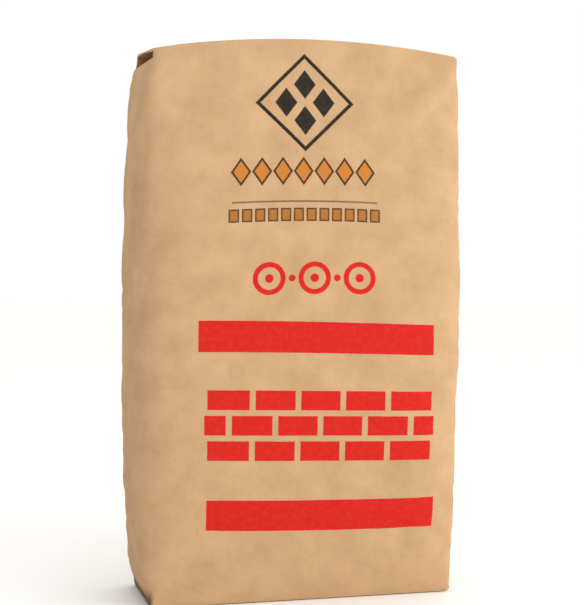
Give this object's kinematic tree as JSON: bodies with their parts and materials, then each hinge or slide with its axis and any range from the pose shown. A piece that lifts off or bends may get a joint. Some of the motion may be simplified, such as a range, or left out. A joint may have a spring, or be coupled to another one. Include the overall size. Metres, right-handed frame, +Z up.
{
  "type": "cement bag",
  "caption": "Filled kraft paper cement sack with pasted block ends, a filling mouth at one top corner and plain printed bands and shapes on its front.",
  "frame": {"origin": "middle of the footprint on the floor, which is the centre of the bottom face of the bounding box", "axes": "+Z up from the bottom end to the top end; +X across the printed front, to the right of someone facing it; the printed front faces -Y"},
  "size_m": [0.408, 0.16, 0.66],
  "materials": {
    "kraft_paper": "matte",
    "patch_paper": "matte",
    "sleeve_paper": "matte",
    "cement": "matte"
  },
  "bodies": {
    "root": {"sack_body": "kraft_paper", "top_cover_patch": "patch_paper", "bottom_cover_patch": "patch_paper", "valve_sleeve": "sleeve_paper", "cement_fill": "cement"}
  },
  "joints": []
}
